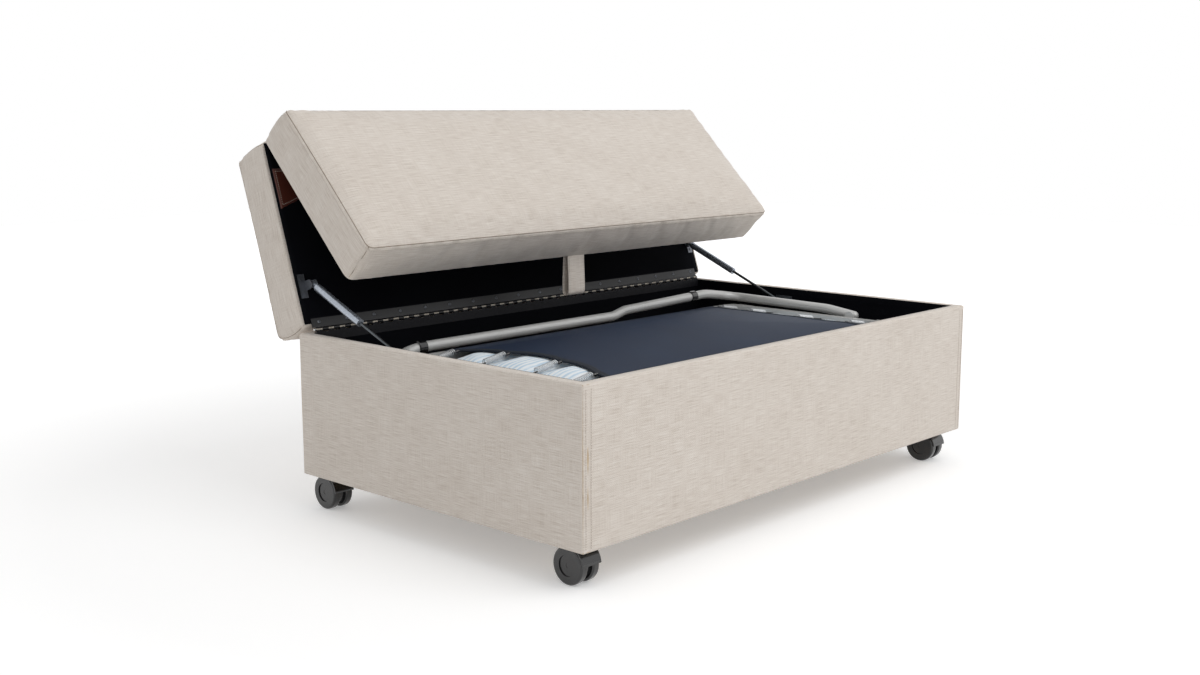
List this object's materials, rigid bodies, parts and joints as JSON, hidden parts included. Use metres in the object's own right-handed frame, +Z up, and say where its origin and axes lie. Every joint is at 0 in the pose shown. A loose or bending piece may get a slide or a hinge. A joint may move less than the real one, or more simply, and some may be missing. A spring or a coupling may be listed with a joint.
{
  "type": "fold out ottoman guest bed",
  "caption": "Upholstered box ottoman on twin-wheel casters with a folding padded lid on gas struts and a fold-out guest bed inside.",
  "frame": {"origin": "on the floor, under the middle of the whole object as it stands with its lid open", "axes": "+X along the long side of the box, +Y from the front to the hinged back, +Z up"},
  "size_m": [1.1854, 0.9222, 0.7625],
  "materials": {
    "board": "raw panel",
    "linen": "slubby linen weave",
    "black_cloth": "thin woven cloth",
    "brown_vinyl": "smooth",
    "black_steel": "satin",
    "bright_steel": "zinc plated",
    "strut_grey": "satin",
    "bed_paint": "grey-beige powder coat",
    "navy_cloth": "stretched knit",
    "ticking": "quilted ticking",
    "black_plastic": "gloss"
  },
  "bodies": {
    "base": {"base_front_board": "board", "base_rear_board": "board", "base_left_board": "board", "base_right_board": "board", "base_floor_board": "board", "base_corner_blocks": "board", "base_cover": "linen", "base_lining": "black_cloth", "base_hinge_leaf": "black_steel", "strut_base_brackets": "bright_steel", "lift_rails_outer": "bright_steel", "caster_plates": "bright_steel", "caster_plate_screws": "bright_steel"},
    "lid_rear": {"lid_rear_board": "board", "lid_rear_pad": "linen", "lid_rear_dust_cover": "black_cloth", "lid_rear_hinge_leaf": "black_steel", "fold_hinge_rear_leaves": "black_steel", "hinge_pins": "bright_steel", "strut_lid_brackets": "bright_steel", "fold_reinforcement_patches": "brown_vinyl"},
    "lid_front": {"lid_front_board": "board", "lid_front_pad": "linen", "lid_front_dust_cover": "black_cloth", "fold_hinge_front_leaves": "black_steel", "pull_strap": "linen"},
    "lift_middle": {"lift_rails_middle": "bright_steel"},
    "bed_head": {"lift_rails_inner": "bright_steel", "head_frame": "bed_paint", "head_deck": "navy_cloth", "head_mattress": "ticking", "head_hinge_arms": "bed_paint"},
    "bed_folded": {"mid_frame": "bed_paint", "mid_deck": "navy_cloth", "mid_mattress": "ticking", "mid_hinge_arms": "bed_paint", "deck_springs": "bright_steel", "deck_spring_hooks": "black_plastic", "leg_pivot_brackets": "bed_paint", "foot_frame": "bed_paint", "foot_deck": "navy_cloth", "foot_mattress": "ticking", "foot_hinge_links": "bed_paint"},
    "bed_leg": {"bed_leg": "bed_paint"},
    "left_strut_rod": {"left_strut_rod": "bright_steel"},
    "left_strut_cylinder": {"left_strut_cylinder": "strut_grey"},
    "right_strut_rod": {"right_strut_rod": "bright_steel"},
    "right_strut_cylinder": {"right_strut_cylinder": "strut_grey"},
    "front_left_caster": {"front_left_caster_hood": "black_plastic"},
    "front_left_outer_wheel": {"front_left_outer_wheel": "black_plastic"},
    "front_left_inner_wheel": {"front_left_inner_wheel": "black_plastic"},
    "rear_left_caster": {"rear_left_caster_hood": "black_plastic"},
    "rear_left_outer_wheel": {"rear_left_outer_wheel": "black_plastic"},
    "rear_left_inner_wheel": {"rear_left_inner_wheel": "black_plastic"},
    "front_right_caster": {"front_right_caster_hood": "black_plastic"},
    "front_right_outer_wheel": {"front_right_outer_wheel": "black_plastic"},
    "front_right_inner_wheel": {"front_right_inner_wheel": "black_plastic"},
    "rear_right_caster": {"rear_right_caster_hood": "black_plastic"},
    "rear_right_outer_wheel": {"rear_right_outer_wheel": "black_plastic"},
    "rear_right_inner_wheel": {"rear_right_inner_wheel": "black_plastic"}
  },
  "joints": [
    {"name": "lid_hinge", "type": "hinge", "parent": "base", "child": "lid_rear", "pos_m": [0, 0.2507, 0.3435], "axis": [-1, 0, 0], "range_deg": [-108.5, 0]},
    {"name": "lid_fold", "type": "hinge", "parent": "lid_rear", "child": "lid_front", "pos_m": [0, 0.36811, 0.69438], "axis": [1, 0, 0], "range_deg": [-154, 0]},
    {"name": "lift_middle_slide", "type": "slide", "parent": "base", "child": "lift_middle", "axis": [0, 0, 1], "range_m": [0, 0.125]},
    {"name": "bed_lift", "type": "slide", "parent": "base", "child": "bed_head", "axis": [0, 0, 1], "range_m": [0, 0.25]},
    {"name": "bed_unfold", "type": "hinge", "parent": "bed_head", "child": "bed_folded", "pos_m": [0, -0.4011, 0.204], "axis": [1, 0, 0], "range_deg": [0, 180]},
    {"name": "leg_swing", "type": "hinge", "parent": "bed_folded", "child": "bed_leg", "pos_m": [0, -0.2431, 0.303], "axis": [1, 0, 0], "range_deg": [0, 90]},
    {"name": "left_strut_swing", "type": "hinge", "parent": "lid_rear", "child": "left_strut_cylinder", "pos_m": [0, 0.26819, 0.42728], "axis": [1, 0, 0], "range_deg": [-123.46, 0]},
    {"name": "left_strut_slide", "type": "slide", "parent": "left_strut_cylinder", "child": "left_strut_rod", "axis": [0, -0.9191, -0.394], "range_m": [-0.12515, 0]},
    {"name": "right_strut_swing", "type": "hinge", "parent": "lid_rear", "child": "right_strut_cylinder", "pos_m": [0, 0.26819, 0.42728], "axis": [1, 0, 0], "range_deg": [-123.46, 0]},
    {"name": "right_strut_slide", "type": "slide", "parent": "right_strut_cylinder", "child": "right_strut_rod", "axis": [0, -0.9191, -0.394], "range_m": [-0.12515, 0]},
    {"name": "front_left_swivel", "type": "hinge", "parent": "base", "child": "front_left_caster", "pos_m": [-0.5475, -0.4161, 0.07], "axis": [0, 0, 1], "continuous": true},
    {"name": "front_left_outer_roll", "type": "hinge", "parent": "front_left_caster", "child": "front_left_outer_wheel", "pos_m": [-0.5475, -0.4031, 0.0325], "axis": [1, 0, 0], "continuous": true},
    {"name": "front_left_inner_roll", "type": "hinge", "parent": "front_left_caster", "child": "front_left_inner_wheel", "pos_m": [-0.5475, -0.4031, 0.0325], "axis": [1, 0, 0], "continuous": true},
    {"name": "rear_left_swivel", "type": "hinge", "parent": "base", "child": "rear_left_caster", "pos_m": [-0.5475, 0.2239, 0.07], "axis": [0, 0, 1], "continuous": true},
    {"name": "rear_left_outer_roll", "type": "hinge", "parent": "rear_left_caster", "child": "rear_left_outer_wheel", "pos_m": [-0.5475, 0.2369, 0.0325], "axis": [1, 0, 0], "continuous": true},
    {"name": "rear_left_inner_roll", "type": "hinge", "parent": "rear_left_caster", "child": "rear_left_inner_wheel", "pos_m": [-0.5475, 0.2369, 0.0325], "axis": [1, 0, 0], "continuous": true},
    {"name": "front_right_swivel", "type": "hinge", "parent": "base", "child": "front_right_caster", "pos_m": [0.5475, -0.4161, 0.07], "axis": [0, 0, 1], "continuous": true},
    {"name": "front_right_outer_roll", "type": "hinge", "parent": "front_right_caster", "child": "front_right_outer_wheel", "pos_m": [0.5475, -0.4031, 0.0325], "axis": [1, 0, 0], "continuous": true},
    {"name": "front_right_inner_roll", "type": "hinge", "parent": "front_right_caster", "child": "front_right_inner_wheel", "pos_m": [0.5475, -0.4031, 0.0325], "axis": [1, 0, 0], "continuous": true},
    {"name": "rear_right_swivel", "type": "hinge", "parent": "base", "child": "rear_right_caster", "pos_m": [0.5475, 0.2239, 0.07], "axis": [0, 0, 1], "continuous": true},
    {"name": "rear_right_outer_roll", "type": "hinge", "parent": "rear_right_caster", "child": "rear_right_outer_wheel", "pos_m": [0.5475, 0.2369, 0.0325], "axis": [1, 0, 0], "continuous": true},
    {"name": "rear_right_inner_roll", "type": "hinge", "parent": "rear_right_caster", "child": "rear_right_inner_wheel", "pos_m": [0.5475, 0.2369, 0.0325], "axis": [1, 0, 0], "continuous": true}
  ],
  "couplings": [
    {"joint": "lid_fold", "follows": "lid_hinge", "ratio": 1.4194},
    {"joint": "lift_middle_slide", "follows": "bed_unfold", "m_per_rad": 0.039789},
    {"joint": "bed_lift", "follows": "bed_unfold", "m_per_rad": 0.079577},
    {"joint": "leg_swing", "follows": "bed_unfold", "ratio": 0.5},
    {"joint": "left_strut_swing", "follows": "lid_hinge", "ratio": 1.1378},
    {"joint": "left_strut_slide", "follows": "lid_hinge", "m_per_rad": 0.06608},
    {"joint": "right_strut_swing", "follows": "lid_hinge", "ratio": 1.1378},
    {"joint": "right_strut_slide", "follows": "lid_hinge", "m_per_rad": 0.06608}
  ]
}
